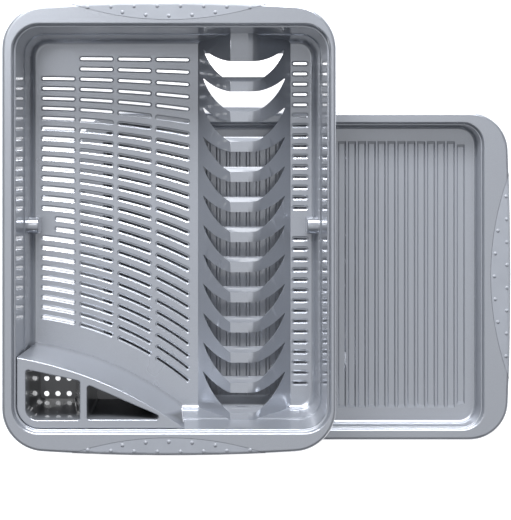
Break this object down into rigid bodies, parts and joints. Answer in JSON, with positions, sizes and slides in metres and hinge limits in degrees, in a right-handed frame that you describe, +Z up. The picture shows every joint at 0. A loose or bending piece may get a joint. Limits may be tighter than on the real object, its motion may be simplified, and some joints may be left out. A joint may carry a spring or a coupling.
{
  "type": "dish drying rack",
  "caption": "Deep grey plastic dish rack with slotted floor, plate ridge and cutlery holder, lying crosswise on its shallow channelled drip tray.",
  "frame": {"origin": "centre of the drip tray's underside, on the surface it rests on", "axes": "+Z up, +X along the tray's long side, +Y along the rack's long side towards its back grip"},
  "size_m": [0.5599, 0.4837, 0.1181],
  "materials": {
    "rack_plastic": "high gloss, smooth moulded",
    "tray_plastic": "high gloss, smooth moulded",
    "holder_plastic": "high gloss, smooth moulded",
    "grip_rubber": "soft satin with raised dots"
  },
  "bodies": {
    "tray": {"tray_wall": "tray_plastic", "tray_floor": "tray_plastic", "tray_grip_left": "grip_rubber", "tray_grip_right": "grip_rubber"},
    "rack": {"rack_wall": "rack_plastic", "rack_floor": "rack_plastic", "plate_ridge": "rack_plastic", "rack_grip_back": "grip_rubber", "rack_grip_front": "grip_rubber"},
    "holder": {"cutlery_holder": "holder_plastic"}
  },
  "joints": [
    {"name": "rack_lift", "type": "slide", "parent": "tray", "child": "rack", "axis": [0, 0, 1], "range_m": [0, 0.15]},
    {"name": "cutlery_lift", "type": "slide", "parent": "rack", "child": "holder", "axis": [0, 0, 1], "range_m": [0, 0.11]}
  ]
}
